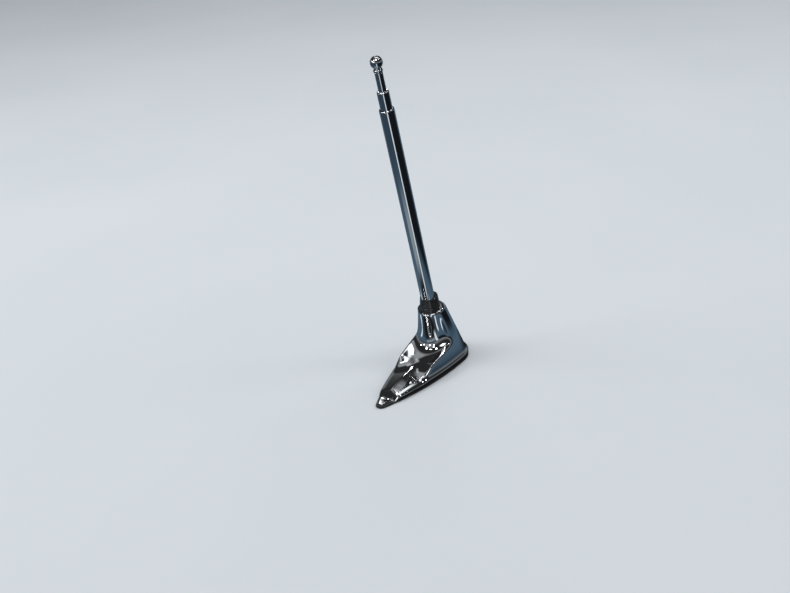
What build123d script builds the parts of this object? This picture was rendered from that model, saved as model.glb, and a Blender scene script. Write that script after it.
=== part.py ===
from build123d import *
import os
from math import atan2, cos, radians, sin, sqrt

os.makedirs("parts", exist_ok=True)

# A telescopic radio aerial for a car's rear deck: a three-section chrome mast, insulated in the neck of a
# fin-shaped die-cast base, which a threaded stud, clamp plate and nut hold to the body panel.
#
# Frame, in millimetres: the origin is where the stud's axis meets the panel, on the gasket's underside.
# +Z is the panel's outward normal, the blunt nose points to -Y and the pointed tail to +Y.
# The mast's axis passes through the origin too and leans towards the tail. Places along the mast are
# distances from the origin.

# Foot of the base, seen from above: half a circle at the nose, two long side arcs, a small arc at the tail
foot_nose_radius = 19.0
foot_nose_y = -2.0
foot_tail_radius = 3.8
foot_tail_y = 73.5
gasket_thickness = 1.4
gasket_inset = 0.3
gasket_width = 3.0
flange_thickness = 2.0
flange_ledge = 1.0
flange_edge_rise = 0.85
cove_middle_rise = 1.85
cove_top_rise = 3.55

# Fin: its walls draw in to a shoulder in front of the neck
mast_lean_deg = 12.0
neck_distance = 44.0
shoulder_radius = 9.4
shoulder_reach = 2.4
crest_radius = 0.5

# Round neck about the mast, which a wide cove joins to the tail
neck_radius = 8.6
neck_foot_radius = 9.6
neck_cove_radius = 19.0
cove_steps = 5
cove_sink = 0.5
rim_edge = 0.3

# Tail: a dish behind the neck turns into a roof that falls to the pointed end
heel_across = 1.6
dish_height = 8.7
dish_rise = 3.8
dish_half_width = 13.0
roof_start_y = 24.0
roof_bend_y = 46.0
roof_bend_drop = 0.4
roof_fall = 0.145
roof_slope = 0.27

# Inside of the casting
wall_thickness = 2.2
boss_radius = 11.0
feed_hole_radius = 3.0

# Insulator in the neck, with the collar that stands above it
insulator_radius = 7.1
insulator_depth = 22.0
insulator_floor = 5.0
collar_height = 9.5
collar_top_radius = 6.2
collar_forward = 1.3
collar_edge = 0.8

# Mast: three sections, each sliding in the one below
lower_radius = 4.75
lower_wall = 0.6
lower_length = 168.5
middle_radius = 3.75
middle_wall = 0.5
middle_show = 11.5
top_radius = 2.5
top_show = 12.0
lip_length = 2.4
lip_edge = 0.8
foot_length = 12.0
foot_floor = 2.0
rest_gap = 0.3
stop_gap = 0.5
mast_foot_length = 5.0
feed_rod_radius = 1.5
feed_rod_length = 14.0

# Ball on the tip
ball_radius = 3.85
ball_waist_radius = 1.9
ball_waist_length = 0.55
bead_radius = 2.9
bead_length = 2.1
bead_edge = 0.5

# Fixing below the panel
panel_grip = 3.2
stud_radius = 8.0
stud_bore_radius = 3.8
stud_below = 27.0
stud_engagement = 9.0
stud_edge = 1.0
nut_across_flats = 22.0
nut_height = 7.0
nut_edge = 1.2
washer_radius = 10.6
washer_thickness = 1.6
washer_split = 1.2
clamp_length = 34.0
clamp_width = 25.0
clamp_thickness = 2.0
claw_height = 0.9
claw_width = 3.0
claw_thickness = 1.2
claw_inset = 3.0
claw_spacing = 9.0

# Lead socket in the end of the stud
socket_radius = 4.6
socket_depth = 12.0
socket_insulator_length = 8.0
contact_radius = 2.0
contact_bore_radius = 1.3
contact_length = 10.0
contact_floor = 2.0

# Clearances: a tube sliding in a tube, a piece seated in another, a hole dropped over the stud
running = 0.05
seat = 0.02
loose = 0.3

mast_axis = Vector(0, sin(radians(mast_lean_deg)), cos(radians(mast_lean_deg)))
across_axis = Vector(0, mast_axis.Z, -mast_axis.Y)
neck_y = neck_distance * mast_axis.Y
neck_height = neck_distance * mast_axis.Z
pocket_floor = neck_distance - insulator_depth
hollow_top = pocket_floor - wall_thickness
foot_top = gasket_thickness + flange_thickness
foot_span = foot_tail_y - foot_nose_y
side_radius = (foot_nose_radius**2 + foot_span**2 - foot_tail_radius**2) / (
    2 * (foot_nose_radius - foot_tail_radius))
lower_start = pocket_floor + insulator_floor
lower_end = lower_start + lower_length
lower_bore = lower_radius - lower_wall
middle_start = lower_start + mast_foot_length + rest_gap
middle_end = lower_end + middle_show
middle_bore = middle_radius - middle_wall
top_start = middle_start + foot_floor + rest_gap
top_end = middle_end + top_show
middle_travel = lower_end - lip_length - middle_start - foot_length - stop_gap
top_travel = middle_end - lip_length - top_start - foot_length - stop_gap
stud_bottom = -stud_below
stud_top = gasket_thickness + stud_engagement
clamp_top = -panel_grip
washer_top = clamp_top - clamp_thickness
nut_top = washer_top - washer_thickness


def save(part, name, colour):
    """Write one node's STEP file."""
    part.label = name
    part.color = Color(colour)
    export_step(part, f"parts/{name}.step")


def upright(radius, low, high):
    """Cylinder about the stud's axis between two heights."""
    return Pos(0, 0, low) * Cylinder(radius, high - low, align=(Align.CENTER, Align.CENTER, Align.MIN))


def leaning(shape):
    """Turn a shape made about the Z axis so that it stands about the mast's axis."""
    return Rot(-mast_lean_deg, 0, 0) * shape


def turned(points):
    """Turn a closed profile of (radius, distance along the mast) points about the mast's axis."""
    corners = [Vector(radius, 0, distance) for radius, distance in points]
    return leaning(revolve(Face(Wire.make_polygon(corners, close=True)), Axis.Z))


def teardrop(inset, height, tail=crest_radius, shift=0):
    """Face of the foot's outline, moved in by inset and back by shift, with a tail of its own radius."""
    nose = foot_nose_radius - inset
    side = side_radius - inset
    centre_x = side_radius - foot_nose_radius
    length = sqrt((side - tail) ** 2 - centre_x**2)
    turn = atan2(length, centre_x)
    start = foot_nose_y + shift

    def on_side(angle, mirror):
        return mirror * (side * cos(angle) - centre_x), start + side * sin(angle), height

    right, left = [[on_side(angle, mirror) for angle in (0, turn / 2, turn)] for mirror in (1, -1)]
    edges = [
        ThreePointArc(left[0], (0, start - nose, height), right[0]),
        ThreePointArc(*right),
        ThreePointArc(right[2], (0, start + length + tail, height), left[2]),
        ThreePointArc(*reversed(left)),
    ]
    return Face(Wire(edges))


def foot_outline(inset, height):
    """The foot's own outline, moved in all round by inset."""
    return teardrop(inset, height, foot_tail_radius - inset)


def wall_outline(inset, height):
    """Outline of the fin's walls, which draw in and lean back with height, moved in by inset."""
    rise = (height - foot_top) / (neck_height - foot_top)
    drawn_in = inset + flange_ledge + rise * (foot_nose_radius - flange_ledge - shoulder_radius)
    back = rise * (neck_y - shoulder_reach - foot_nose_y)
    return teardrop(drawn_in, height, max(foot_tail_radius - drawn_in, crest_radius), back)


def walls(inset, low, high):
    """What the fin's walls enclose between two heights, all moved in by inset."""
    return loft([wall_outline(inset, low), wall_outline(inset, high)], ruled=True)


def tail_section(y, middle, side):
    """Section at y of the space over the tail; its floor runs from the middle's height to the sides' height.

    Higher sides make a dish of two arcs, lower ones a roof of two straight slopes."""
    half = foot_nose_radius
    above = neck_height * 2
    if side > middle:
        quarter = middle + (side - middle) / 4
        left = ThreePointArc((-half, y, side), (-half / 2, y, quarter), (0, y, middle))
        right = ThreePointArc((0, y, middle), (half / 2, y, quarter), (half, y, side))
    else:
        left = Line((-half, y, side), (0, y, middle))
        right = Line((0, y, middle), (half, y, side))
    frame = Polyline((half, y, side), (half, y, above), (-half, y, above), (-half, y, side))
    return Face(Wire([left, right, *frame.edges()]))


def over_tail(drop):
    """The space over the tail and behind the neck's heel, lowered and moved forward by drop."""
    end_y = foot_tail_y + foot_tail_radius + flange_ledge
    dish_side = dish_height + dish_rise * (foot_nose_radius / dish_half_width) ** 2
    bend = dish_height - roof_bend_drop
    end = bend - roof_fall * (end_y - roof_bend_y)
    roof_side = roof_slope * foot_nose_radius
    sections = [
        tail_section(foot_nose_y, dish_height - drop, dish_side - drop),
        tail_section(roof_start_y, dish_height - drop, dish_side - drop),
        tail_section(roof_bend_y, bend - drop, bend - roof_side - drop),
        tail_section(end_y, end - drop, end - roof_side - drop),
    ]
    space = loft(sections[:2]) + loft(sections[1:3]) + loft(sections[2:])
    heel = Plane(origin=across_axis * (heel_across - drop), z_dir=across_axis)
    return split(space, bisect_by=heel, keep=Keep.TOP)


def neck():
    """Round neck about the mast; its cove comes down behind it and runs out just below the dish."""
    centre_radius = neck_foot_radius + neck_cove_radius
    lowest = dish_height - cove_sink
    centre = (lowest + neck_cove_radius + centre_radius * mast_axis.Y) / mast_axis.Z
    swing = 90 + mast_lean_deg

    def on_cove(step):
        turn = radians(mast_lean_deg - swing * step / cove_steps)
        return centre_radius + neck_cove_radius * sin(turn), centre - neck_cove_radius * cos(turn)

    cove = [on_cove(step) for step in range(cove_steps + 1)]
    return turned([
        (0, 0),
        (cove[0][0], 0),
        *cove,
        (neck_radius, neck_distance - rim_edge),
        (neck_radius - rim_edge, neck_distance),
        (0, neck_distance),
    ])


def outer_form():
    """Flange and fin, joined by a cove in two straight bands, and cut to the tail, the neck and its top."""
    edge_height = foot_top + flange_edge_rise
    flange = extrude(foot_outline(0, gasket_thickness), edge_height - gasket_thickness)
    fin = loft([
        foot_outline(0, edge_height),
        foot_outline(flange_ledge, foot_top + cove_middle_rise),
        wall_outline(0, foot_top + cove_top_rise),
        wall_outline(0, neck_height + shoulder_radius / 2),
    ], ruled=True)
    body = flange + fin - (over_tail(0) - neck())
    top = Plane(origin=mast_axis * neck_distance, z_dir=mast_axis)
    return split(body, bisect_by=top, keep=Keep.BOTTOM)


def base_casting():
    """Die-cast base: flange, fin with its tail and neck, hollow below with a boss for the stud."""
    body = outer_form()
    hollow = walls(wall_thickness, gasket_thickness, hollow_top) - over_tail(wall_thickness)
    body -= hollow - upright(boss_radius, gasket_thickness, hollow_top)
    body -= upright(stud_radius + seat, gasket_thickness, stud_top)
    body -= upright(feed_hole_radius, gasket_thickness, hollow_top)
    body -= turned([(0, 0), (feed_hole_radius, 0), (feed_hole_radius, neck_distance), (0, neck_distance)])
    bore = insulator_radius + seat
    body -= turned([(0, pocket_floor), (bore, pocket_floor), (bore, neck_distance), (0, neck_distance)])
    return body


def base_gasket():
    """Rubber gasket under the rim of the casting, its underside on the panel."""
    outside = extrude(foot_outline(gasket_inset, 0), gasket_thickness)
    inside = extrude(foot_outline(gasket_width, 0), gasket_thickness)
    return outside - inside


def insulator():
    """Black insulator: a plug in the neck, with a collar above it that is fuller in front of the mast."""
    collar_top = neck_distance + collar_height
    tube = lower_radius + seat
    feed = feed_rod_radius + seat

    def ring(radius, distance, forward):
        return leaning(Pos(0, -forward, distance) * Circle(radius))

    collar = loft([
        ring(insulator_radius, neck_distance, 0),
        ring(collar_top_radius, collar_top - collar_edge, collar_forward),
        ring(collar_top_radius - collar_edge, collar_top, collar_forward),
    ], ruled=True)
    plug = turned([
        (0, pocket_floor),
        (insulator_radius, pocket_floor),
        (insulator_radius, neck_distance),
        (0, neck_distance),
    ])
    tube_seat = turned([(0, lower_start), (tube, lower_start), (tube, collar_top), (0, collar_top)])
    feed_hole = turned([(0, pocket_floor), (feed, pocket_floor), (feed, lower_start), (0, lower_start)])
    return plug + collar - tube_seat - feed_hole


def mast_foot():
    """Brass plug in the end of the lower tube; its rod carries the signal down through the insulator."""
    plug = lower_bore - seat
    rod_start = lower_start - feed_rod_length
    plug_end = lower_start + mast_foot_length
    return turned([
        (0, rod_start),
        (feed_rod_radius, rod_start),
        (feed_rod_radius, lower_start),
        (plug, lower_start),
        (plug, plug_end),
        (0, plug_end),
    ])


def rolled_lip(radius, bore, end, inner_radius):
    """Profile points of a tube's top end, rolled in to a lip that the next section runs through."""
    lip = inner_radius + running
    half_edge = lip_edge * (1 - sqrt(0.5))
    return [
        (radius, end - lip_edge),
        (radius - half_edge, end - half_edge),
        (radius - lip_edge, end),
        (lip, end),
        (lip, end - lip_length),
        (bore, end - lip_length),
    ]


def lower_tube():
    """Largest mast section, fixed in the insulator."""
    lip = rolled_lip(lower_radius, lower_bore, lower_end, middle_radius)
    return turned([(lower_bore, lower_start), (lower_radius, lower_start), *lip])


def middle_tube():
    """Middle section: its closed foot slides in the lower tube."""
    foot = lower_bore - running
    foot_end = middle_start + foot_length
    floor = middle_start + foot_floor
    lip = rolled_lip(middle_radius, middle_bore, middle_end, top_radius)
    return turned([
        (0, middle_start),
        (foot, middle_start),
        (foot, foot_end),
        (middle_radius, foot_end),
        *lip,
        (middle_bore, floor),
        (0, floor),
    ])


def top_rod():
    """Thin top section, a solid rod with a foot that slides in the middle tube."""
    foot = middle_bore - running
    foot_end = top_start + foot_length
    return turned([
        (0, top_start),
        (foot, top_start),
        (foot, foot_end),
        (top_radius, foot_end),
        (top_radius, top_end),
        (0, top_end),
    ])


def tip_ball():
    """Turned ball on the end of the top rod, with a narrow waist and a bead below it."""
    bead_end = top_end + bead_length
    waist_end = bead_end + ball_waist_length
    ball_centre = waist_end + sqrt(ball_radius**2 - ball_waist_radius**2)
    stem = turned([
        (0, top_end),
        (bead_radius - bead_edge, top_end),
        (bead_radius, top_end + bead_edge),
        (bead_radius, bead_end - bead_edge),
        (bead_radius - bead_edge, bead_end),
        (ball_waist_radius, bead_end),
        (ball_waist_radius, ball_centre),
        (0, ball_centre),
    ])
    return stem + leaning(Pos(0, 0, ball_centre) * Sphere(ball_radius))


def mounting_stud():
    """Threaded steel stud screwed up into the casting's boss; its hollow end is the lead socket's shell."""
    rod = upright(stud_radius, stud_bottom, stud_top)
    body = chamfer(rod.edges().group_by(Axis.Z)[0], stud_edge)
    body -= upright(socket_radius, stud_bottom, stud_bottom + socket_depth)
    body -= upright(stud_bore_radius, stud_bottom, stud_bottom + socket_depth + socket_insulator_length)
    body -= upright(feed_hole_radius, stud_bottom, stud_top)
    return body


def socket_insulator():
    """Insulating disc at the bottom of the lead socket."""
    low = stud_bottom + socket_depth
    high = low + socket_insulator_length
    return upright(stud_bore_radius - seat, low, high) - upright(contact_radius + seat, low, high)


def centre_contact():
    """Brass sleeve that takes the lead's pin."""
    low = stud_bottom + socket_depth
    high = low + contact_length
    return upright(contact_radius, low, high) - upright(contact_bore_radius, low, high - contact_floor)


def clamp_plate():
    """Pressed steel clamp plate with rounded ends; its four claws bite the panel from below."""
    plate = extrude(Pos(0, 0, washer_top) * SlotOverall(clamp_length, clamp_width), clamp_thickness)
    plate -= upright(stud_radius + loose, washer_top, clamp_top)
    half = claw_width / 2
    tooth = Polyline((-half, -clamp_thickness), (half, -clamp_thickness), (0, claw_height), close=True)
    claw = extrude(Plane.YZ * make_face(tooth), claw_thickness / 2, both=True)
    claw_x = clamp_length / 2 - claw_inset
    places = [(x, y, clamp_top) for x in (-claw_x, claw_x) for y in (-claw_spacing / 2, claw_spacing / 2)]
    return plate + [Pos(*place) * claw for place in places]


def lock_washer():
    """Spring washer between the nut and the clamp plate, split at the back."""
    ring = upright(washer_radius, nut_top, washer_top) - upright(stud_radius + loose, nut_top, washer_top)
    return ring - Pos(0, washer_radius, nut_top) * Box(washer_split, washer_radius, washer_thickness * 2)


def mounting_nut():
    """Hexagon nut on the stud, its corners turned off at both ends."""
    low = nut_top - nut_height
    hexagon = RegularPolygon(nut_across_flats / 2, 6, major_radius=False)
    bar = extrude(Pos(0, 0, low) * hexagon, nut_height)
    blank = upright(nut_across_flats / sqrt(3), low, nut_top)
    turned_blank = chamfer(blank.edges().filter_by(GeomType.CIRCLE), nut_edge)
    return (bar & turned_blank) - upright(stud_radius + seat, low, nut_top)


save(base_casting(), "base_casting", "silver")
save(base_gasket(), "base_gasket", "black")
save(insulator(), "insulator", "gray20")
save(mast_foot(), "mast_foot", "gold")
save(lower_tube(), "lower_tube", "lightblue")
save(middle_tube(), "middle_tube", "orange")
save(top_rod(), "top_rod", "green")
save(tip_ball(), "tip_ball", "red")
save(mounting_stud(), "mounting_stud", "gray")
save(socket_insulator(), "socket_insulator", "white")
save(centre_contact(), "centre_contact", "gold")
save(clamp_plate(), "clamp_plate", "steelblue")
save(lock_washer(), "lock_washer", "tan")
save(mounting_nut(), "mounting_nut", "purple")
print("middle travel", round(middle_travel, 2), "top travel", round(top_travel, 2))
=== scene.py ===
import bpy
import numpy as np
from mathutils import Matrix, Vector


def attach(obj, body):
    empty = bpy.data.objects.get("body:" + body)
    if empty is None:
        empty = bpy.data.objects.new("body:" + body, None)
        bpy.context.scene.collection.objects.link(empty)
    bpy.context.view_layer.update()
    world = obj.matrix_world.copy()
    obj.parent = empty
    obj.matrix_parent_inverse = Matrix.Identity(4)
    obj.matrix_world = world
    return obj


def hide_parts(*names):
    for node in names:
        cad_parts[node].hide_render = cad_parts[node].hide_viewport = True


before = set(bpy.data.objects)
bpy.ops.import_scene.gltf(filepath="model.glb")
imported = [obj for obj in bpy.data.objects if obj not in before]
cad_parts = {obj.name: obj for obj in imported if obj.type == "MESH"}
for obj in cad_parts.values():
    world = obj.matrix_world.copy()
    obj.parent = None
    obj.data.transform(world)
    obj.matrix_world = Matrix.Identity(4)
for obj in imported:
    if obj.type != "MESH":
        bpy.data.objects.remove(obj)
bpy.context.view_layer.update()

# A telescopic radio aerial on its chromed base, in the order in which it is put together.
# The origin is where the stud's axis meets the ground that the base stands on. +Z is up, +Y towards the tail.
# Sizes of pieces are in millimetres, and places along the mast are distances from the origin on its axis.

# Camera: stands behind the aerial and to one side, and looks down over it with the picture a little tipped
camera_place = Vector((-0.33178, 0.49600, 0.34606))
camera_aim = Vector((0.01626, 0.02633, 0.05567))
camera_roll = np.radians(-4.944)
camera = bpy.data.objects.new("camera", bpy.data.cameras.new("camera"))
bpy.context.scene.collection.objects.link(camera)
camera.data.lens = 43.90
camera.data.sensor_width = 36
camera.location = camera_place
level_sight = (camera_aim - camera_place).to_track_quat("-Z", "Y").to_matrix()
camera.rotation_euler = (level_sight @ Matrix.Rotation(camera_roll, 3, "Z")).to_euler()
bpy.context.scene.camera = camera
bpy.context.scene.view_settings.view_transform = "Standard"


def node_adder(tree):
    """A function that adds a node to a tree: values sets its properties and unlinked sockets, and links joins
    its other sockets to outputs."""
    def add(kind, values=(), links=()):
        node = tree.nodes.new(kind)
        for key, value in dict(values).items():
            if isinstance(key, int) or key in node.inputs:
                node.inputs[key].default_value = value
            else:
                setattr(node, key, value)
        for key, source in dict(links).items():
            tree.links.new(source, node.inputs[key])
        return node
    return add


def new_material(name):
    """An empty node material, the function that adds its nodes, and its object coordinates in metres."""
    material = bpy.data.materials.new(name)
    material.use_nodes = True
    material.node_tree.nodes.clear()
    add = node_adder(material.node_tree)
    return material, add, add("ShaderNodeTexCoord").outputs["Object"]


def noise(add, place, scale, detail, **more):
    """Cloudy value between 0 and 1: noise with a number of lumps a metre and of finer layers."""
    values = {"Scale": scale, "Detail": detail, **more}
    return add("ShaderNodeTexNoise", values, {"Vector": place}).outputs["Fac"]


def two_tones(add, value, low, dark, high, light):
    """Colour that runs from dark where a value is low to light where it is high."""
    ramp = add("ShaderNodeValToRGB", links={"Fac": value})
    first, last = ramp.color_ramp.elements
    first.position, last.position = low, high
    first.color, last.color = (*dark, 1), (*light, 1)
    return ramp.outputs["Color"]


def smooth_share(add, value, start, end, low=0.0, high=1.0):
    """Node output that runs smoothly from low where value is start to high where it is end."""
    return add("ShaderNodeMapRange", {"interpolation_type": "SMOOTHSTEP", "From Min": start, "From Max": end,
                                      "To Min": low, "To Max": high}, {"Value": value}).outputs[0]


def straight_share(add, value, start, end, low, high):
    """The same in a straight line, held level beyond start and end."""
    return add("ShaderNodeMapRange", {"From Min": start, "From Max": end, "To Min": low, "To Max": high},
               {"Value": value}).outputs[0]


def reckon(add, operation, first, second=None, constant=None):
    """Output of a Math node on one or two outputs, or on one output and a constant."""
    values = {"operation": operation} if constant is None else {"operation": operation, 1: constant}
    links = {0: first} if second is None else {0: first, 1: second}
    return add("ShaderNodeMath", values, links).outputs[0]


def along_axis(add, axis, vector):
    """How far a vector reaches along an axis: their dot product."""
    return add("ShaderNodeVectorMath", {"operation": "DOT_PRODUCT", 1: axis}, {0: vector}).outputs["Value"]


def within_half(add, value, outer, inner):
    """1 where a value is within inner of 0 on either side, falling smoothly to 0 at outer."""
    return smooth_share(add, reckon(add, "ABSOLUTE", value), outer, inner)


def way_to(azimuth, elevation):
    """Direction at an azimuth from +X towards +Y and an elevation, both in degrees."""
    turn, lift = np.radians(azimuth), np.radians(elevation)
    return Vector((np.cos(turn) * np.cos(lift), np.sin(turn) * np.cos(lift), np.sin(lift)))


# Floor: the plain pale ground that the base stands on, with the hole that the stud goes through. In mirrored
# rays it glows instead with a painted reflection: a dim blue ground, a painted shadow nearly black round the
# foot, and broad dark and narrow bright patches
floor_radius, floor_hole_radius, floor_sides = 6.0, 0.0084, 96
floor_angle = np.linspace(0, 2 * np.pi, floor_sides, endpoint=False)
floor_rim = np.stack([np.cos(floor_angle), np.sin(floor_angle), 0 * floor_angle], 1)
side = np.arange(floor_sides)
next_side = (side + 1) % floor_sides
floor_mesh = bpy.data.meshes.new("floor")
floor_mesh.from_pydata(np.concatenate([floor_rim * floor_hole_radius, floor_rim * floor_radius]).tolist(), [],
                       np.stack([side, side + floor_sides, next_side + floor_sides, next_side], 1).tolist())
floor_paint, add, place = new_material("floor_paint")
tone = two_tones(add, noise(add, place, 3.0, 2.0), 0.0, (0.50, 0.53, 0.56), 1.0, (0.55, 0.575, 0.60))
matt = add("ShaderNodeBsdfPrincipled", {"Roughness": 0.6, "Specular IOR Level": 0.0}, {"Base Color": tone})

# The painted shadow round the foot, seen in mirrored rays, is a dark oval found from places squeezed along +Y
# about its middle
foot_middle, oval_squeeze, oval_start, oval_end = 0.028, 0.45, 0.024, 0.06
shadow_colour, painted_ground_reflection = (0.012, 0.012, 0.012, 1), (0.09, 0.149, 0.21, 1)
oval = add("ShaderNodeMapping", {"Location": (0, -foot_middle * oval_squeeze, 0),
                                 "Scale": (1, oval_squeeze, 0)}, {"Vector": place}).outputs[0]
round_foot = add("ShaderNodeVectorMath", {"operation": "LENGTH"}, {0: oval}).outputs["Value"]
ground = add("ShaderNodeMix", {"data_type": "RGBA", 6: shadow_colour, 7: painted_ground_reflection},
             {0: smooth_share(add, round_foot, oval_start, oval_end)}).outputs[2]

# The patches are parts of rings round a point behind the stud, and turned is the angle from a middle azimuth
patch_centre, middle_azimuth, side_softness = 0.008, 124, 1.5
flat = add("ShaderNodeMapping", {"Location": (0, -patch_centre, 0), "Scale": (1, 1, 0)}, {"Vector": place})
away = add("ShaderNodeVectorMath", {"operation": "LENGTH"}, {0: flat.outputs[0]}).outputs["Value"]
turned = reckon(add, "ARCTAN2", along_axis(add, way_to(middle_azimuth + 90, 0), flat.outputs[0]),
                along_axis(add, way_to(middle_azimuth, 0), flat.outputs[0]))
# Each painted reflection patch has its sides' azimuths, nearest and farthest distance in metres, softness of
# its ends, and colour
for start, end, near, far, soft, colour in [
        (138, 246, 0.12, 9, 0.3, (0.010, 0.012, 0.014)), (12, 117, 0.2, 9, 0.4, (0.045, 0.07, 0.1)),
        (62, 116, 0.08, 0.17, 0.25, (0.32, 0.37, 0.4)), (119, 132, 0.055, 0.6, 0.15, (0.99, 1.07, 1.1)),
        (151, 157, 0.046, 0.062, 0.1, (1.17, 1.26, 1.3)), (8, 20, 0.048, 0.072, 0.1, (1.1, 1.23, 1.3))]:
    centre, half, edge = np.radians(((start + end) / 2 - middle_azimuth, (end - start) / 2, side_softness))
    share = within_half(add, reckon(add, "SUBTRACT", turned, constant=centre), half + edge, half - edge)
    for distance, first, last in ((near, 1 - soft, 1 + soft), (far, 1 + soft, 1 - soft)):
        share = reckon(add, "MULTIPLY", share, smooth_share(add, away, distance * first, distance * last))
    ground = add("ShaderNodeMix", {"data_type": "RGBA", 7: (*colour, 1)}, {0: share, 6: ground}).outputs[2]
# The floor glows with this painted reflection in mirrored rays only, and is matt paint for all other rays
sheen = add("ShaderNodeEmission", links={"Color": ground})
in_metal = add("ShaderNodeLightPath").outputs["Is Glossy Ray"]
shown = add("ShaderNodeMixShader", links={0: in_metal, 1: matt.outputs["BSDF"], 2: sheen.outputs[0]})
add("ShaderNodeOutputMaterial", links={"Surface": shown.outputs[0]})
floor_paint.cycles.emission_sampling = "NONE"
floor_mesh.materials.append(floor_paint)
floor = bpy.data.objects.new("floor", floor_mesh)
bpy.context.scene.collection.objects.link(floor)


# Studio: lamps for the light and its shadows, and round them an even room, which metal mirrors as a dim one
# with soft windows and small spots

# Each lamp has its azimuth, elevation, distance, width and height in metres, and power in watts
lamps = [(40, 42, 1.9, 0.9, 1.2, 16), (-150, 40, 1.9, 0.5, 1.2, 7), (-80, 68, 1.8, 1.2, 0.5, 10)]
for azimuth, elevation, distance, width, tall, power in lamps:
    light = bpy.data.lights.new("lamp", "AREA")
    light.shape = "RECTANGLE"
    light.size, light.size_y, light.energy = width, tall, power
    lamp = bpy.data.objects.new("lamp", light)
    lamp.location = way_to(azimuth, elevation) * distance
    lamp.rotation_euler = way_to(azimuth, elevation).to_track_quat("Z", "Y").to_euler()
    lamp.visible_camera = lamp.visible_glossy = False
    bpy.context.scene.collection.objects.link(lamp)

studio = bpy.data.worlds.new("studio")
studio.use_nodes = True
studio.node_tree.nodes.clear()
bpy.context.scene.world = studio
add = node_adder(studio.node_tree)
ray = add("ShaderNodeTexCoord").outputs["Generated"]
ray_height = add("ShaderNodeSeparateXYZ", links={"Vector": ray}).outputs["Z"]
dim_above, light_below, dim_room, light_room, even_room = 0.42, 0.02, 0.03, 0.26, 0.62
brightness_mirrored = smooth_share(add, ray_height, dim_above, light_below, dim_room, light_room)
# Each window has its azimuth, elevation, half width and half height in degrees, and brightness
windows = [(-92, 68, 8, 8, 1.6), (-72, 74, 5, 4, 3), (-20, 79, 10, 2.5, 3), (-46, 52, 3, 6, 0.5),
           (-21, 66, 18, 8, 0.4), (72, 14, 14, 11, 0.3), (124, 56, 10, 11, 5), (90, 84, 7, 5, 1)]
# Each spot has its azimuth and elevation
spots = [(66, 38), (82, 46), (60, 22), (76, 9), (86, 27), (48, 8), (57, 30), (70, 52), (38, 20), (94, 14),
         (-49, 31), (-165, 46), (-118, 44), (-140, 62)]
spot_half, spot_brightness = 1.8, 22
windows += [(azimuth, elevation, spot_half, spot_half, spot_brightness) for azimuth, elevation in spots]
for azimuth, elevation, half_width, half_height, brightness in windows:
    ahead = way_to(azimuth, elevation)
    aside = way_to(azimuth + 90, 0)
    lit = reckon(add, "GREATER_THAN", along_axis(add, ahead, ray), constant=0.0)
    for axis, half in ((aside, half_width), (ahead.cross(aside), half_height)):
        edge = np.sin(np.radians(half))
        beside = within_half(add, along_axis(add, axis, ray), edge * 1.5, edge * 0.5)
        lit = reckon(add, "MULTIPLY", lit, beside)
    lit = reckon(add, "MULTIPLY", lit, constant=float(brightness))
    brightness_mirrored = reckon(add, "ADD", brightness_mirrored, lit)
in_metal = add("ShaderNodeLightPath").outputs["Is Glossy Ray"]
strength = add("ShaderNodeMix", {"data_type": "FLOAT", 2: even_room}, {0: in_metal, 3: brightness_mirrored})
room = add("ShaderNodeBackground", {"Color": (0.95, 0.98, 1.0, 1)}, {"Strength": strength.outputs[0]})
add("ShaderNodeOutputWorld", links={"Surface": room.outputs[0]})


# Mounting stud
# Turned steel, zinc plated and threaded outside, screwed up into the casting. Its bore carries the lead's
# centre wire, and the wide end below is the lead's socket.
stud_radius, stud_bottom, stud_top, stud_end_bevel = 8.0, -27.0, 10.4, 1.1
thread_pitch, thread_depth, groove_fullness, groove_flank = 1.5, 0.82, 1.25, 3.2
socket_radius, socket_depth, socket_bevel = 4.6, 12.0, 0.5
stud_bore_radius, stud_bore_depth, feed_radius = 3.8, 8.0, 3.0


def end_material(add, values, links):
    """Ends a material in a principled shader with these values and links."""
    shader = add("ShaderNodeBsdfPrincipled", values, links)
    add("ShaderNodeOutputMaterial", links={"Surface": shader.outputs["BSDF"]})


def zinc_plate(name, tone, line_scale):
    """Dull plated steel in a grey of its own: cutting lines from noise drawn out round the Z axis, and a
    cloudy gloss that is browner where it is duller."""
    material, add, place = new_material(name)
    drawn = add("ShaderNodeMapping", {"Scale": (0.06, 0.06, 1.0)}, {"Vector": place})
    lines = noise(add, drawn.outputs[0], line_scale, 3.0)
    cloud = noise(add, place, 240.0, 5.0, Roughness=0.65)
    stained = (tone[0] * 0.62, tone[1] * 0.6, tone[2] * 0.55)
    colour = two_tones(add, cloud, 0.32, stained, 0.7, tone)
    rough = straight_share(add, cloud, 0.3, 0.7, 0.42, 0.26)
    relief = add("ShaderNodeBump", {"Strength": 0.35, "Distance": 0.00006}, {"Height": lines})
    end_material(add, {"Metallic": 1.0},
                 {"Base Color": colour, "Roughness": rough, "Normal": relief.outputs[0]})
    return material


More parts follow.
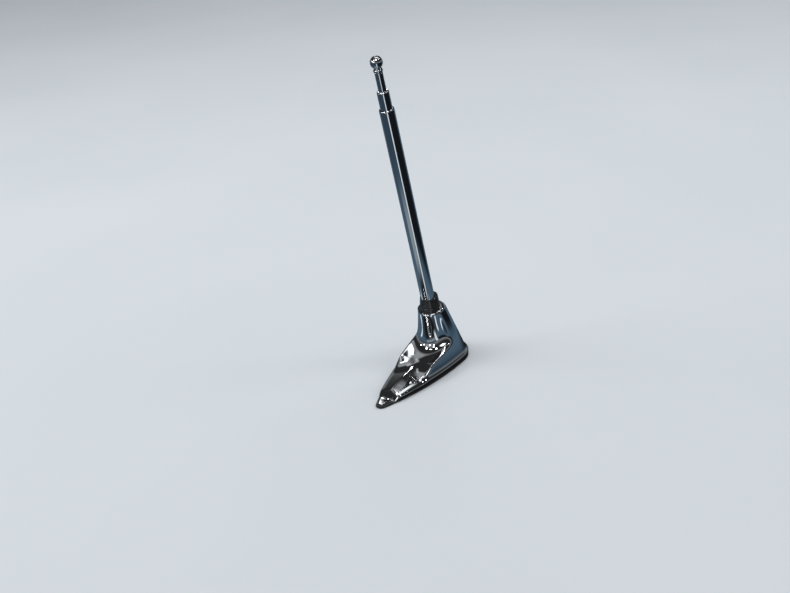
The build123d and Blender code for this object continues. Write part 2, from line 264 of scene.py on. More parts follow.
def grid_piece(name, points, material, body, round_rows=True, sharp=40):
    """A piece from a grid of points in millimetres, whose columns close round; its rows close round too, or
    else each end is closed by a fan to its middle. Columns that go round to the left, seen from above, and
    rows that go up give faces that point outwards. Edges that turn by more than sharp degrees look sharp."""
    rows, columns = points.shape[:2]
    row, column = np.meshgrid(np.arange(rows if round_rows else rows - 1), np.arange(columns), indexing="ij")
    next_row, next_column = (row + 1) % rows, (column + 1) % columns
    faces = np.stack([row * columns + column, row * columns + next_column, next_row * columns + next_column,
                      next_row * columns + column], -1).reshape(-1, 4)
    corners = points.reshape(-1, 3)
    sizes = np.full(len(faces), 4)
    loops = faces.ravel()
    if not round_rows:
        ring = np.arange(columns)
        first, last = rows * columns, rows * columns + 1
        corners = np.concatenate([corners, points[:1].mean(1), points[-1:].mean(1)])
        low_fan = np.stack([np.roll(ring, -1), ring, np.full(columns, first)], 1)
        top = (rows - 1) * columns
        high_fan = np.stack([top + ring, top + np.roll(ring, -1), np.full(columns, last)], 1)
        loops = np.concatenate([loops, low_fan.ravel(), high_fan.ravel()])
        sizes = np.concatenate([sizes, np.full(2 * columns, 3)])
    mesh = bpy.data.meshes.new(name)
    mesh.vertices.add(len(corners))
    mesh.vertices.foreach_set("co", (corners * 0.001).astype(np.float32).ravel())
    mesh.loops.add(len(loops))
    mesh.loops.foreach_set("vertex_index", loops.astype(np.int32))
    mesh.polygons.add(len(sizes))
    mesh.polygons.foreach_set("loop_start", (np.cumsum(sizes) - sizes).astype(np.int32))
    mesh.update(calc_edges=True)
    mesh.shade_smooth()
    mesh.set_sharp_from_angle(angle=np.radians(sharp))
    mesh.materials.append(material)
    piece = bpy.data.objects.new(name, mesh)
    bpy.context.scene.collection.objects.link(piece)
    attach(piece, body)
    return piece


def rounded_outline(corners, steps=6):
    """Points of a closed outline given as (radius, height, rounding): each corner with a rounding becomes the
    arc that touches both its sides."""
    sharp = np.array([corner[:2] for corner in corners], float)
    before, after = np.roll(sharp, 1, 0), np.roll(sharp, -1, 0)
    points = []
    for here, back, ahead, (_, _, rounding) in zip(sharp, before, after, corners):
        if not rounding:
            points.append(here[None])
            continue
        to_back = (back - here) / np.linalg.norm(back - here)
        to_ahead = (ahead - here) / np.linalg.norm(ahead - here)
        half = np.arccos(np.clip(to_back @ to_ahead, -1, 1)) / 2
        inward = (to_back + to_ahead) / np.linalg.norm(to_back + to_ahead)
        centre = here + inward * rounding / np.sin(half)
        start = here + to_back * rounding / np.tan(half) - centre
        end = here + to_ahead * rounding / np.tan(half) - centre
        share = np.linspace(0, 1, steps)[:, None]
        spread = np.pi - 2 * half
        arc = np.sin((1 - share) * spread) * start + np.sin(share * spread) * end
        points.append(centre + arc / np.sin(spread))
    return np.concatenate(points)


# The mast and the neck lean towards the tail by this angle
lean = np.radians(12)


def leaning(x, w, u):
    """Points from their place across and along the mast: w towards the tail, u up its axis."""
    return np.stack([x, w * np.cos(lean) + u * np.sin(lean), u * np.cos(lean) - w * np.sin(lean)], -1)


def turned_piece(name, corners, material, body, leans=True, sides=128, steps=6, sharp=40):
    """A piece turned on a lathe: a rounded outline of (radius, height) carried round the mast's axis, or
    round the stud's if it doesn't lean. An outline that starts and ends at radius 0 closes at its poles."""
    solid = corners[0][0] == 0 and corners[-1][0] == 0
    outline = rounded_outline(corners, steps)
    if solid:
        outline = outline[1:-1]
    angle = np.linspace(0, 2 * np.pi, sides, endpoint=False)
    radius, along = outline[:, 0][:, None], outline[:, 1][:, None] + 0 * angle
    if leans:
        points = leaning(radius * np.cos(angle), radius * np.sin(angle), along)
    else:
        points = np.stack([radius * np.cos(angle), radius * np.sin(angle), along], -1)
    return grid_piece(name, points, material, body, not solid, sharp)


zinc = zinc_plate("zinc_plate", (0.62, 0.61, 0.57), 5200.0)
stud_sides, rows_a_turn = 96, 12
angle = np.linspace(0, 2 * np.pi, stud_sides, endpoint=False)
thread_rows = int((stud_top - stud_bottom) / thread_pitch * rows_a_turn)
height = np.linspace(stud_bottom, stud_top, thread_rows)[:, None] + 0 * angle

# The thread's groove has a flat root and straight flanks, and each end of the stud is bevelled over it
phase = (height / thread_pitch - angle / (2 * np.pi)) % 1
groove = np.clip(groove_fullness - np.abs(phase - 0.5) * groove_flank, 0, 1)
from_end = np.minimum(height - stud_bottom, stud_top - height)
end_taper = np.clip(stud_end_bevel - from_end, 0, stud_end_bevel)
radius = np.minimum(stud_radius - thread_depth * groove, stud_radius - end_taper)
outside = np.stack([radius * np.cos(angle), radius * np.sin(angle), height], -1)
socket_end = stud_bottom + socket_depth
stud_bore_end = socket_end + stud_bore_depth
bore_outline = [(feed_radius, stud_top), (feed_radius, stud_bore_end), (stud_bore_radius, stud_bore_end),
                (stud_bore_radius, socket_end), (socket_radius, socket_end),
                (socket_radius, stud_bottom + socket_bevel), (socket_radius + socket_bevel, stud_bottom)]
bore = np.stack([np.stack([r * np.cos(angle), r * np.sin(angle), z + 0 * angle], -1)
                 for r, z in bore_outline])
stud = grid_piece("stud", np.concatenate([outside, bore]), zinc, "base")
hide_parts("mounting_stud")

# Lead socket
# A nylon disc pressed in the stud's bore holds the split brass sleeve that takes the lead's pin.
nylon, add, place = new_material("nylon")
shade = two_tones(add, noise(add, place, 900.0, 3.0), 0.0, (0.60, 0.57, 0.49), 1.0, (0.74, 0.71, 0.63))
end_material(add, {"Roughness": 0.45, "Subsurface Weight": 0.15, "Subsurface Scale": 0.001},
             {"Base Color": shade})
brass, add, place = new_material("brass")
tarnish = noise(add, place, 420.0, 5.0)
shade = two_tones(add, tarnish, 0.35, (0.36, 0.22, 0.09), 0.62, (0.78, 0.56, 0.25))
dull = straight_share(add, tarnish, 0.35, 0.65, 0.45, 0.22)
end_material(add, {"Metallic": 1.0}, {"Base Color": shade, "Roughness": dull})
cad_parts["socket_insulator"].data.materials[0] = nylon
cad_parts["centre_contact"].data.materials[0] = brass
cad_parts["mast_foot"].data.materials[0] = brass

# Gasket
# A moulded rubber ring that follows the foot's outline and is squeezed between the casting and the ground.
foot_nose_radius, foot_nose_y = 19.0, -2.0
foot_tail_radius, foot_tail_y = 3.8, 73.5
gasket_thickness, gasket_inset, gasket_width, gasket_bulge = 1.4, 0.3, 3.0, 0.25
foot_length = foot_tail_y - foot_nose_y
side_radius = ((foot_nose_radius**2 + foot_length**2 - foot_tail_radius**2)
               / (2 * (foot_nose_radius - foot_tail_radius)))
side_turn = np.arctan2(foot_length, side_radius - foot_nose_radius)

# The outline runs round the nose, along one side arc, round the tail and back along the other. Each arc has
# its centre, its radius and its angles, which are also the ways outwards there
nose_spokes, side_spokes, tail_spokes = 104, 96, 40
nose_share = (np.arange(nose_spokes) + 0.5) / nose_spokes
side_share = (np.arange(side_spokes) + 0.5) / side_spokes
tail_share = (np.arange(tail_spokes) + 0.5) / tail_spokes
outline_arcs = [(0, foot_nose_y, foot_nose_radius, -np.pi + np.pi * nose_share),
                (foot_nose_radius - side_radius, foot_nose_y, side_radius, side_turn * side_share),
                (0, foot_tail_y, foot_tail_radius, side_turn + (np.pi - 2 * side_turn) * tail_share),
                (side_radius - foot_nose_radius, foot_nose_y, side_radius,
                 np.pi - side_turn * (1 - side_share))]
outline_angle = np.concatenate([angle for _, _, _, angle in outline_arcs])
outline_x = np.concatenate([x + radius * np.cos(angle) for x, _, radius, angle in outline_arcs])
outline_y = np.concatenate([y + radius * np.sin(angle) for _, y, radius, angle in outline_arcs])
outline_out = np.stack([np.cos(outline_angle), np.sin(outline_angle), 0 * outline_angle], -1)


def along_foot(section):
    """A closed section of (inset, height) points carried round the foot's outline, square to it."""
    inset, height = section[:, 0][:, None], section[:, 1][:, None]
    return np.stack([outline_x - inset * outline_out[:, 0], outline_y - inset * outline_out[:, 1],
                     height + 0 * outline_x], -1)


rubber, add, place = new_material("rubber")
grain = noise(add, place, 2600.0, 3.0)
bloom = noise(add, place, 180.0, 4.0)
shade = two_tones(add, bloom, 0.35, (0.012, 0.012, 0.013), 0.75, (0.035, 0.035, 0.036))
relief = add("ShaderNodeBump", {"Strength": 0.5, "Distance": 0.00005}, {"Height": grain})
end_material(add, {"Roughness": 0.62}, {"Base Color": shade, "Normal": relief.outputs[0]})
bulging = np.linspace(-np.pi / 2, np.pi / 2, 9)
outer_edge = np.stack([gasket_inset - gasket_bulge * np.cos(bulging),
                       gasket_thickness / 2 * (1 + np.sin(bulging))], -1)
gasket_section = np.concatenate([outer_edge, [[gasket_width, gasket_thickness], [gasket_width, 0]]])
gasket = grid_piece("gasket", along_foot(gasket_section), rubber, "base")
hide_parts("base_gasket")

# Base casting
# A zinc die casting, polished and chrome plated: a flange on the gasket, a fin drawn out of it to a tail with
# a low ridge, and a round neck that leans with the mast. It is hollow below, with a boss that takes the stud.
flange_thickness, flange_ledge, flange_edge, flange_cove = 2.0, 1.0, 1.4, 3.8
neck_distance, neck_radius = 44.0, 8.6
neck_foot_distance, neck_foot_radius = 10.0, 9.6
neck_fillet, neck_seam = 33.0, 0.5
shoulder_radius, shoulder_reach, shoulder_round = 9.4, 2.4, 3.4
shoulder_fall, fall_bend, rim_round, rim_width = 0.5, 0.3, 1.6, 1.4
shoulder_start, shoulder_run = 3.0, 4.0
heel_across, heel_fillet = 1.6, 6.0
floor_height, floor_slope, floor_bend_y, floor_bend = 8.7, 0.145, 46.0, 6.0
dish_rise, dish_width = 3.8, 13.0
roof_slope, ridge_radius, roof_start, roof_full = 0.27, 0.45, 28.0, 44.0
crest_round, tail_crest_round, tip_crest_round = 2.6, 3.8, 2.0
tail_start, tail_run, tip_start, tip_run = 25.0, 20.0, 56.0, 16.0
casting_wall, hollow_top, hollow_round = 2.2, 19.8, 2.0
bore_radius, bore_bottom = 7.12, 22.0
foot_top = gasket_thickness + flange_thickness


def soft_min(a, b, reach):
    """The smaller of two distances, less reach/6 where they are equal, which fades to nothing where they
    differ by reach: it fills the corner between two surfaces with a fillet."""
    near = np.maximum(reach - np.abs(a - b), 0) / reach
    return np.minimum(a, b) - near**3 * reach / 6


def soft_max(a, b, reach):
    """The larger of two distances, with the corner between the surfaces rounded off in the same way."""
    return -soft_min(-a, -b, reach)


def cove(a, b, radius):
    """The smaller of two distances, with the corner between the surfaces filled by an arc of a radius."""
    into_corner = np.hypot(np.maximum(radius - a, 0), np.maximum(radius - b, 0))
    return np.maximum(radius, np.minimum(a, b)) - into_corner


def smooth_step(t):
    """0 below 0, 1 above 1, and 3t^2 - 2t^3 between."""
    t = np.clip(t, 0, 1)
    return t * t * (3 - 2 * t)


def outside_foot(x, y):
    """Distance outside the foot's outline, seen from above: to the nose circle in front of its centre, to the
    tail circle behind the line from the side arc's centre through its own, and to the side arc between."""
    across = np.abs(x)
    from_centre = across - foot_nose_radius + side_radius
    nose = np.hypot(across, y - foot_nose_y) - foot_nose_radius
    tail = np.hypot(across, y - foot_tail_y) - foot_tail_radius
    side = np.hypot(from_centre, y - foot_nose_y) - side_radius
    at_tail = np.arctan2(y - foot_nose_y, from_centre) > side_turn
    return np.where(y < foot_nose_y, nose, np.where(at_tail, tail, side))


def tail_floor(x, y):
    """Height of the cut that leaves the tail: level behind the neck and then falling to the tip, dished like
    a parabola across at the neck, and changing smoothly into a roof with a rounded ridge."""
    past = y - floor_bend_y
    spine = floor_height - floor_slope * (past + np.hypot(past, floor_bend)) / 2
    roof = smooth_step((y - roof_start) / (roof_full - roof_start))
    dish = (1 - roof) * dish_rise * (x / dish_width) ** 2
    return spine + dish - roof * roof_slope * (np.hypot(x, ridge_radius) - ridge_radius)


def outside_casting(x, y, z):
    """Distance outside the casting: the foot's outline drawn in and back with height, and joined to the
    flange by a cove. The tail's floor and a heel plane behind the neck cut both, the neck's cone is joined on
    with fillets, and the rim's plane and the foot's own outline cut it all off."""
    u, w = y * np.sin(lean) + z * np.cos(lean), y * np.cos(lean) - z * np.sin(lean)
    taper = (neck_radius - neck_foot_radius) / (neck_distance - neck_foot_distance)
    neck = np.hypot(x, w) - neck_foot_radius - (u - neck_foot_distance) * taper
    rise = (z - foot_top) / (neck_distance * np.cos(lean) - foot_top)
    back = rise * (neck_distance * np.sin(lean) - shoulder_reach - foot_nose_y)
    drawn_in = flange_ledge + rise * (foot_nose_radius - flange_ledge - shoulder_radius)
    walls = cove(outside_foot(x, y - back) + drawn_in, z - foot_top, flange_cove)
    kept = soft_min(soft_min(neck, z - tail_floor(x, y), neck_fillet), w - heel_across, heel_fillet)
    crest = crest_round + (tail_crest_round - crest_round) * smooth_step((y - tail_start) / tail_run)
    crest += (tip_crest_round - tail_crest_round) * smooth_step((y - tip_start) / tip_run)
    fin = soft_min(soft_max(walls, kept, crest), neck, neck_seam)
    beyond = np.hypot(x, w) - bore_radius - rim_width
    fall = shoulder_fall * (beyond + np.hypot(beyond, fall_bend)) / 2
    rim = rim_round + (shoulder_round - rim_round) * smooth_step((-w - shoulder_start) / shoulder_run)
    fin = soft_max(fin, u - neck_distance + fall, rim)
    return soft_max(fin, outside_foot(x, y), flange_edge)


def inside_hollow(x, y, z):
    """Distance outside the hollow: the casting's own form drawn in by the wall, under a level ceiling."""
    return soft_max(outside_casting(x, y, z) + casting_wall, z - hollow_top, hollow_round)


def first_crossing(outside, start, way, far):
    """Where rays leave a form: the stretch from a start inside it to a far end outside is halved 40 times."""
    near_end, far_end = np.zeros(start.shape[:-1]), np.full(start.shape[:-1], far)
    for _ in range(40):
        middle = (near_end + far_end) / 2
        point = start + way * middle[..., None]
        within = outside(point[..., 0], point[..., 1], point[..., 2]) < 0
        near_end = np.where(within, middle, near_end)
        far_end = np.where(within, far_end, middle)
    return start + way * near_end[..., None]


def evenly(rows, lines):
    """Shares at which rows have to stand to be evenly spaced along each line. Each column of lines is one
    line, with points at even shares, and the share that belongs to a walked length is read off it."""
    steps = np.linalg.norm(np.diff(lines, axis=0), axis=-1)
    walked = np.concatenate([np.zeros((1, lines.shape[1])), np.cumsum(steps, 0)])
    walked /= walked[-1]
    columns = np.arange(lines.shape[1])
    sample = np.linspace(0, 1, rows)[:, None] * np.ones(len(columns))
    place = np.linspace(0, 1, len(lines))[:, None] * np.ones(len(columns))
    flat = np.interp((sample + 2 * columns).T.ravel(), (walked + 2 * columns).T.ravel(), place.T.ravel())
    return flat.reshape(len(columns), rows).T


def chrome_plate(name, tone, haze_low, haze_high, wave_scale, wave_depth, drawn=False):
    """Polished chrome: a cloudy haze, faint waves left by polishing, hair scratches, and rare pits with a
    dark heart; on drawn tubes the scratches run along the mast."""
    material, add, place = new_material(name)
    if drawn:
        place = add("ShaderNodeMapping", {"Rotation": (lean, 0, 0)}, {"Vector": place}).outputs[0]
    stretch = (1.0, 1.0, 0.02) if drawn else (1.0, 0.04, 0.4)
    stretched = add("ShaderNodeMapping", {"Scale": stretch}, {"Vector": place}).outputs[0]
    hair = straight_share(add, noise(add, stretched, 5200.0, 2.0), 0.66, 0.78, 0.0, 1.0)
    cloud = noise(add, place, 210.0, 5.0, Roughness=0.62)
    haze = straight_share(add, cloud, 0.35, 0.75, haze_low, haze_high)
    rough = add("ShaderNodeMath", {"operation": "MULTIPLY_ADD", 1: 0.12}, {0: hair, 2: haze}).outputs[0]

    # Each pit is the middle of a cell, in the few cells whose own chance colour is red enough
    cells = add("ShaderNodeTexVoronoi", {"Scale": 330.0, "Randomness": 1.0}, {"Vector": place})
    chance = add("ShaderNodeSeparateColor", links={"Color": cells.outputs["Color"]}).outputs["Red"]
    pit = reckon(add, "MULTIPLY", reckon(add, "GREATER_THAN", chance, constant=0.86),
                 smooth_share(add, cells.outputs["Distance"], 0.055, 0.02))
    colour = add("ShaderNodeMix", {"data_type": "RGBA", 6: (*tone, 1), 7: (0.10, 0.085, 0.07, 1)}, {0: pit})
    swell = add("ShaderNodeBump", {"Strength": 1.0, "Distance": wave_depth},
                {"Height": noise(add, place, wave_scale, 1.0)})
    sunk = add("ShaderNodeBump", {"Strength": 0.6, "Distance": 0.00004, "invert": True},
               {"Height": pit, "Normal": swell.outputs[0]})
    end_material(add, {"Metallic": 1.0},
                 {"Base Color": colour.outputs[2], "Roughness": rough, "Normal": sunk.outputs[0]})
    return material


# Spokes run from the bore out over the neck, the heel and the tail, or down the front, to the foot's outline
tail_fan = np.radians(10)
bore_angle = np.concatenate([-np.pi + np.pi * nose_share, (np.pi / 2 - tail_fan) * side_share,
                             np.pi / 2 - tail_fan + 2 * tail_fan * tail_share,
                             np.pi / 2 + tail_fan + (np.pi / 2 - tail_fan) * side_share])


def casting_skin(share):
    """Outer skin: share 0 is the bore's edge, 1 the flange's lower edge. Rays go up along the mast from a
    plane in the flange, then turn outwards at its edge, and end level where its side does."""
    spread_end, turn_start, turn_run, down_start, down_run = 0.96, 0.93, 0.05, 0.97, 0.03
    edge_inset, plane_height = 2.0, 0.6
    spread = np.clip(share / spread_end, 0, 1)
    turn = smooth_step((share - turn_start) / turn_run)
    down = np.clip((share - down_start) / down_run, 0, 1)
    edge_x = outline_x - edge_inset * outline_out[:, 0]
    edge_y = outline_y - edge_inset * outline_out[:, 1]
    level = gasket_thickness + plane_height
    edge_w = edge_y * np.cos(lean) - level * np.sin(lean)
    x = bore_radius * np.cos(bore_angle) * (1 - spread) + edge_x * spread
    w = bore_radius * np.sin(bore_angle) * (1 - spread) + edge_w * spread
    z = level - down * (level - gasket_thickness)
    u = (z + w * np.sin(lean)) / np.cos(lean)
    up = np.array([0, np.sin(lean), np.cos(lean)])
    way = up * (1 - turn[..., None]) + outline_out * turn[..., None]
    way /= np.linalg.norm(way, axis=-1, keepdims=True)
    return first_crossing(outside_casting, leaning(x, w, u), way, ray_length)


def hollow_skin(share):
    """Roof and walls of the hollow: share 0 is the feed hole's edge and 1 the lower edge, on rays up from the
    foot."""
    inset = min(flange_ledge + casting_wall + 0.25, foot_tail_radius)
    edge_x = outline_x - inset * outline_out[:, 0]
    edge_y = outline_y - inset * outline_out[:, 1]
    w_edge = edge_y * np.cos(lean) - gasket_thickness * np.sin(lean)
    x = feed_radius * np.cos(bore_angle) * (1 - share) + edge_x * share
    w = feed_radius * np.sin(bore_angle) * (1 - share) + w_edge * share
    u = (gasket_thickness + w * np.sin(lean)) / np.cos(lean)
    way = np.array([0, np.sin(lean), np.cos(lean)]) * np.ones(share.shape)[..., None]
    return first_crossing(inside_hollow, leaning(x, w, u), way, ray_length)


# Both skins are found twice: first on many rows at even shares, and then on fewer that are evenly spaced
ray_length, clear_above, bore_top_below = 60.0, 0.02, 0.4
outer_search_rows, outer_rows, hollow_search_rows, hollow_rows = 900, 190, 300, 44
bore_rows, feed_rows = 24, 4
spokes = len(outline_x)
search = np.linspace(0, 1, outer_search_rows)[:, None] * np.ones(spokes)
outer = casting_skin(evenly(outer_rows, casting_skin(search)))
search = np.linspace(0, 1, hollow_search_rows)[:, None] * np.ones(spokes)
hollow = hollow_skin(evenly(hollow_rows, hollow_skin(search)))
hollow[..., 2] = np.maximum(hollow[..., 2], gasket_thickness + clear_above)
around = np.stack([np.cos(bore_angle), np.sin(bore_angle)])
bore = np.stack([leaning(bore_radius * around[0], bore_radius * around[1], np.full(spokes, u))
                 for u in np.linspace(neck_distance - bore_top_below, bore_bottom, bore_rows)])
feed_ring = leaning(feed_radius * around[0], feed_radius * around[1], np.full(spokes, bore_bottom))
feed_share = np.linspace(0, 0.9, feed_rows)[:, None, None]
feed = feed_ring * (1 - feed_share) + hollow[0] * feed_share
hollow_edge = hollow[-1:].copy()
hollow_edge[..., 2] = gasket_thickness
casting_points = np.concatenate([bore[::-1], outer, hollow_edge, hollow[::-1], feed[::-1]])[::-1]
casting_chrome = chrome_plate("casting_chrome", (0.62, 0.63, 0.65), 0.03, 0.09, 130.0, 0.00006)
casting = grid_piece("casting", casting_points, casting_chrome, "base", sharp=35)
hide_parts("base_casting")

# Boss: the ring of metal inside the hollow that the stud screws up into, cast in one with the hollow's roof
boss_radius, boss_top, boss_feed_low, boss_feed_high = 11.0, hollow_top + 0.8, 4.6, 6.4
stud_hole = stud_radius + 0.02
turned_piece("boss", [(stud_hole, gasket_thickness, 0.3), (boss_radius, gasket_thickness, 0.5),
                      (boss_radius, boss_top, 0), (boss_feed_high, boss_top, 0),
                      (boss_feed_low, stud_top, 0), (stud_hole, stud_top, 0)],
             casting_chrome, "base", leans=False)

# Insulator
# A black moulding pressed into the neck, which holds the mast and keeps it off the metal. The collar that
# stands above the neck's rim is fuller in front of the mast than behind it.
insulator_radius, insulator_floor = 7.1, 5.0
collar_height, collar_top_radius, collar_forward, collar_edge = 9.5, 6.2, 1.3, 0.8
feed_rod_radius, lower_radius = 1.5, 4.75
lower_start = bore_bottom + insulator_floor
moulding, add, place = new_material("black_moulding")
smears = noise(add, place, 380.0, 5.0, Roughness=0.6)
gloss = straight_share(add, smears, 0.35, 0.7, 0.12, 0.34)
shade = two_tones(add, smears, 0.0, (0.008, 0.008, 0.009), 1.0, (0.022, 0.021, 0.02))
end_material(add, {"IOR": 1.55}, {"Base Color": shade, "Roughness": gloss})
collar_top = neck_distance + collar_height
tube_seat = lower_radius + 0.02
insulator_outline = rounded_outline([
    (feed_rod_radius + 0.02, bore_bottom, 0), (insulator_radius, bore_bottom, 0.4),
    (insulator_radius, neck_distance + 0.3, 0.25), (insulator_radius - 0.2, neck_distance + 2.4, 0.3),
    (insulator_radius - 0.55, neck_distance + 2.8, 0.2), (insulator_radius - 0.6, neck_distance + 3.4, 0.2),
    (insulator_radius - 0.35, neck_distance + 3.8, 0.3), (collar_top_radius, collar_top - collar_edge, 0.5),
    (collar_top_radius - collar_edge, collar_top, 0.5), (tube_seat, collar_top, 0.1),
    (tube_seat, lower_start, 0), (feed_rod_radius + 0.02, lower_start, 0)])
angle = np.linspace(0, 2 * np.pi, 144, endpoint=False)
ring_radius, ring_distance = insulator_outline[:, :1], insulator_outline[:, 1:]
# Each ring's centre moves forward with height; its radius about the mast's axis then depends on the angle
risen = np.clip((ring_distance - neck_distance) / (collar_height - collar_edge), 0, 1)
outer = np.clip((ring_radius - tube_seat) / (collar_top_radius - collar_edge - tube_seat), 0, 1)
forward = collar_forward * risen * outer
reach = np.sqrt(ring_radius**2 - (forward * np.cos(angle)) ** 2) - forward * np.sin(angle)
reach = np.maximum(reach, tube_seat + (ring_radius - tube_seat) * 0.1)
reach = np.where(ring_radius < tube_seat, ring_radius, reach)
insulator_points = leaning(reach * np.cos(angle), reach * np.sin(angle), ring_distance + 0 * angle)
insulator = grid_piece("insulator_body", insulator_points, moulding, "base")
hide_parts("insulator")

# Mast
# Two drawn tubes and a rod, each sliding in the one below, chrome plated bright. The tubes are rolled in at
# their tops to lips, and a turned ball goes on the rod.
lower_wall, lower_length = 0.6, 168.5
middle_radius, middle_wall, middle_show = 3.75, 0.5, 11.5
top_radius, top_show = 2.5, 12.0
lip_length, sliding_foot, foot_floor = 2.4, 12.0, 2.0
mast_foot_length, rest_gap, running = 5.0, 0.3, 0.05
lower_end = lower_start + lower_length
middle_start = lower_start + mast_foot_length + rest_gap
middle_end = lower_end + middle_show
top_start = middle_start + foot_floor + rest_gap
top_end = middle_end + top_show
lower_bore, middle_bore = lower_radius - lower_wall, middle_radius - middle_wall
tube_chrome = chrome_plate("tube_chrome", (0.63, 0.64, 0.66), 0.035, 0.10, 90.0, 0.00002, drawn=True)


def foot_corners(foot, start, radius):
    """Outline of a sliding section's foot, from its lower pole to where the section leaves it."""
    foot_end = start + sliding_foot
    return [(0, start, 0), (foot, start, 0.3), (foot, foot_end, 0.3), (radius, foot_end, 0)]


def tube(name, radius, bore, start, end, next_radius, body, rounding, foot=None):
    """A mast tube with a rounded lip rolled in round the next section, and with a foot if it slides."""
    lip = next_radius + running
    corners = foot_corners(foot, start, radius) if foot else [(bore, start, 0), (radius, start, 0.15)]
    corners += [(radius, end, rounding), (lip, end, 0.12), (lip, end - lip_length, 0.1),
                (bore, end - lip_length, 0)]
    if foot:
        corners += [(bore, start + foot_floor, 0), (0, start + foot_floor, 0)]
    return turned_piece(name, corners, tube_chrome, body, steps=12)


lower = tube("lower_section", lower_radius, lower_bore, lower_start, lower_end, middle_radius, "base", 0.9)
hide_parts("lower_tube")
middle = tube("middle_section", middle_radius, middle_bore, middle_start, middle_end, top_radius, "middle",
              0.85, foot=lower_bore - running)
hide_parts("middle_tube")
rod_corners = foot_corners(middle_bore - running, top_start, top_radius)
rod_corners += [(top_radius, top_end, 0.2), (0, top_end, 0)]
rod = turned_piece("top_section", rod_corners, tube_chrome, "top")
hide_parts("top_rod")

# Tip ball
# Turned from one piece of brass with a bead and a narrow waist below it, chrome plated, screwed on the rod.
ball_radius, waist_radius, waist_length = 3.85, 1.9, 0.55
bead_radius, bead_length, bead_round = 2.9, 2.1, 0.9
bead_end = top_end + bead_length
ball_centre = bead_end + waist_length + np.sqrt(ball_radius**2 - waist_radius**2)
arc = np.linspace(-np.arccos(waist_radius / ball_radius), np.pi / 2, 48)[:-1]
ball_arc = [(ball_radius * np.cos(a), ball_centre + ball_radius * np.sin(a), 0) for a in arc]
bead = [(0, top_end, 0), (bead_radius, top_end, bead_round), (bead_radius, bead_end, bead_round),
        (waist_radius, bead_end, 0.2)]
tip = turned_piece("tip", bead + ball_arc + [(0, ball_centre + ball_radius, 0)], tube_chrome, "top",
                   sharp=50)
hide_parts("tip_ball")

# Clamp plate
# Pressed steel, zinc plated, with rounded ends and a hole for the stud. Its four claws bite upwards into the
# sheet that is clamped between it and the gasket.
plate_length, plate_width, plate_thickness, plate_top, plate_edge = 34.0, 25.0, 2.0, -3.2, 0.3
stud_hole_radius = 8.3
angle = np.linspace(0, 2 * np.pi, 192, endpoint=False)
end_radius, end_place = plate_width / 2, (plate_length - plate_width) / 2
beside = np.minimum(end_radius / np.maximum(np.abs(np.sin(angle)), 1e-6), plate_length)
at_end = end_place * np.abs(np.cos(angle)) + np.sqrt(end_radius**2 - (end_place * np.sin(angle)) ** 2)
plate_outline = np.where(np.abs(beside * np.cos(angle)) <= end_place, beside, at_end)
# Each row lies on the outline or on the hole, so far in from it and so far down
plate_rows = [("hole", plate_edge, 0), ("hole", 0, plate_edge), ("outline", 0, plate_edge),
              ("outline", plate_edge / 3, plate_edge / 3), ("outline", plate_edge, 0)]
plate_rows += [(which, inset, plate_thickness - down) for which, inset, down in plate_rows[::-1]]
plate_points = []
for which, inset, down in plate_rows:
    radius = plate_outline - inset if which == "outline" else stud_hole_radius + inset
    plate_points.append(np.stack([radius * np.cos(angle), radius * np.sin(angle),
                                  plate_top - down + 0 * angle], -1))
plate = grid_piece("clamp", np.array(plate_points)[::-1], zinc, "base", sharp=30)
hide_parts("clamp_plate")

claw_height, claw_width, claw_thickness, claw_x, claw_y = 0.9, 3.0, 1.2, 14.0, 4.5
tooth = np.array([[-claw_width / 2, -1.0], [claw_width / 2, -1.0], [0.2, claw_height], [-0.2, claw_height]])
tooth_sides = np.array([-claw_thickness / 2, claw_thickness / 2])
claw_points = np.concatenate([
    np.stack([x + side + 0 * tooth[:, 0], y + tooth[:, 0], plate_top + tooth[:, 1]], -1)
    for x in (-claw_x, claw_x) for y in (-claw_y, claw_y) for side in tooth_sides])
one_claw = np.array([[0, 1, 5, 4], [1, 2, 6, 5], [2, 3, 7, 6], [3, 0, 4, 7], [3, 2, 1, 0], [4, 5, 6, 7]])
claw_mesh = bpy.data.meshes.new("claws")
claw_mesh.from_pydata((claw_points * 0.001).tolist(), [],
                      np.concatenate([one_claw + 8 * number for number in range(4)]).tolist())
claw_mesh.materials.append(zinc)
claws = bpy.data.objects.new("claws", claw_mesh)
bpy.context.scene.collection.objects.link(claws)
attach(claws, "base")

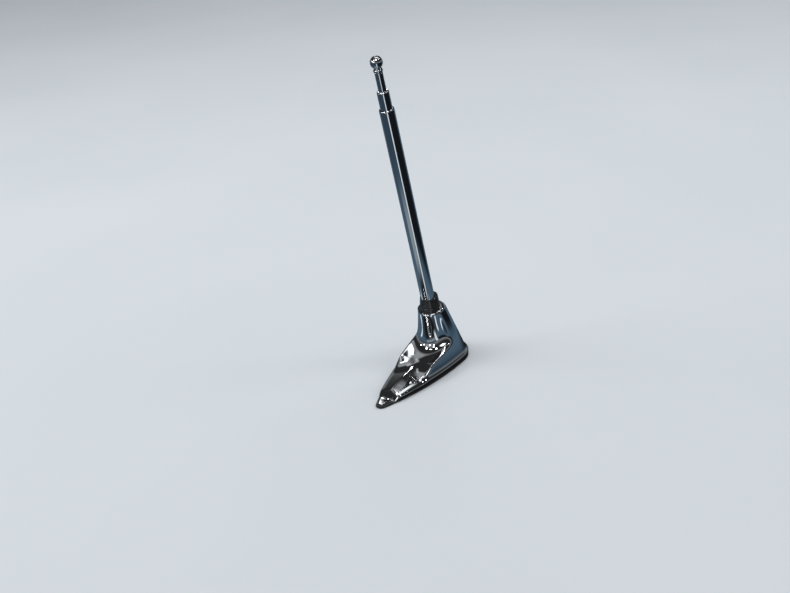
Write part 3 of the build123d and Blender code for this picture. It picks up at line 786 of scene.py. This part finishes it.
# Spring washer
# A turn of square steel wire, blued and split at the back, that keeps the nut from working loose.
washer_radius, washer_top, washer_thickness, washer_split, wire_round = 10.6, -5.2, 1.6, 1.2, 0.25
spring_steel = zinc_plate("spring_steel", (0.17, 0.17, 0.18), 6400.0)
washer_bottom = washer_top - washer_thickness
washer_section = rounded_outline([(stud_hole_radius, washer_bottom, wire_round),
                                  (washer_radius, washer_bottom, wire_round),
                                  (washer_radius, washer_top, wire_round),
                                  (stud_hole_radius, washer_top, wire_round)])
half_split = np.arcsin(washer_split / 2 / washer_radius)
angle = np.linspace(5 * np.pi / 2 - half_split, np.pi / 2 + half_split, 120)[:, None]
washer_points = np.stack([washer_section[:, 0] * np.cos(angle), washer_section[:, 0] * np.sin(angle),
                          washer_section[:, 1] + 0 * angle], -1)
washer = grid_piece("spring_washer", washer_points, spring_steel, "base", round_rows=False)
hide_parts("lock_washer")

# Mounting nut
# Hexagon steel nut, zinc plated, its corners turned off and its threaded hole countersunk at both ends.
nut_across_flats, nut_height, nut_edge, countersink = 22.0, 7.0, 1.2, 0.7
nut_top = washer_bottom
angle = np.linspace(0, 2 * np.pi, 192, endpoint=False)
flat_radius = nut_across_flats / 2
hexagon = flat_radius / np.cos(angle % (np.pi / 3) - np.pi / 6)
turned_off = flat_radius / np.cos(np.pi / 6) - nut_edge
depth = np.concatenate([np.linspace(0, nut_edge, 9), nut_height - np.linspace(nut_edge, 0, 9)])[:, None]
nut_radius = np.minimum(hexagon, turned_off + np.minimum(depth, nut_height - depth))
nut_outside = np.stack([nut_radius * np.cos(angle), nut_radius * np.sin(angle),
                        nut_top - depth + 0 * angle], -1)
hole_rows = [(stud_hole + countersink, nut_height), (stud_hole, nut_height - countersink),
             (stud_hole, countersink), (stud_hole + countersink, 0)]
nut_hole = np.stack([np.stack([r * np.cos(angle), r * np.sin(angle), nut_top - down + 0 * angle], -1)
                     for r, down in hole_rows])
nut = grid_piece("nut", np.concatenate([nut_outside, nut_hole])[::-1], zinc, "base", sharp=25)
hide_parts("mounting_nut")
